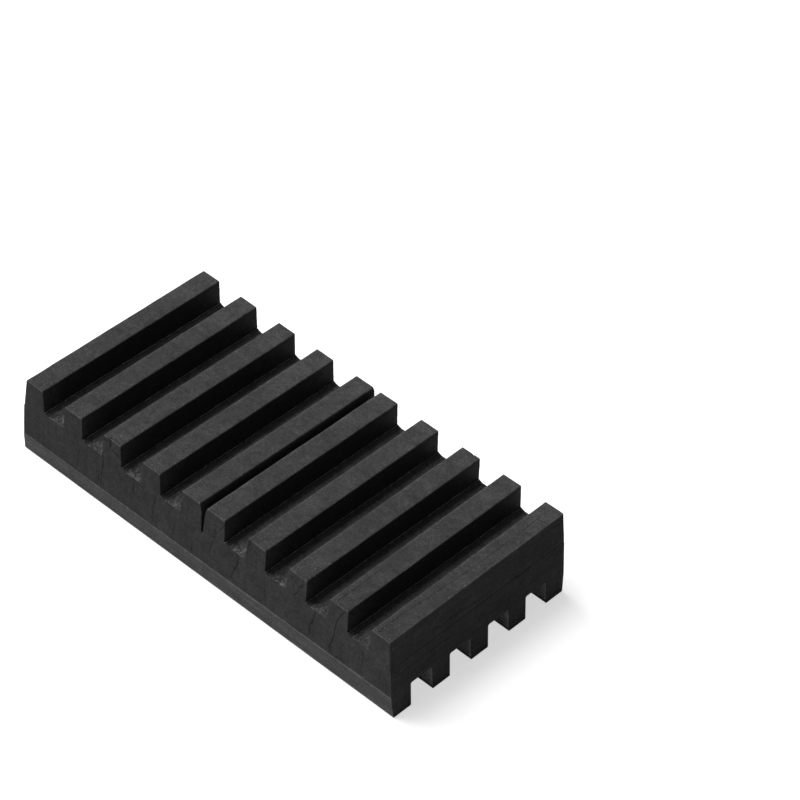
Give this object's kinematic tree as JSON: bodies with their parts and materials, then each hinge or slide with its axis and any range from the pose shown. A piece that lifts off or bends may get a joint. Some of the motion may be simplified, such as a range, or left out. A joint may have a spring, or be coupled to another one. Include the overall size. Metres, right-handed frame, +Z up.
{
  "type": "anti vibration machine pad",
  "caption": "Oblong one-piece rubber pad with cross ribs on top, long ribs underneath and a narrow score slit across the middle.",
  "frame": {"origin": "middle of the underside, at the floor the pad lies on", "axes": "+X along the pad, +Y along the cross ribs on top, +Z up"},
  "size_m": [0.101, 0.049, 0.019],
  "materials": {
    "rubber": "matt black moulded rubber with knife-cut sides"
  },
  "bodies": {
    "root": {"pad": "rubber"}
  },
  "joints": []
}
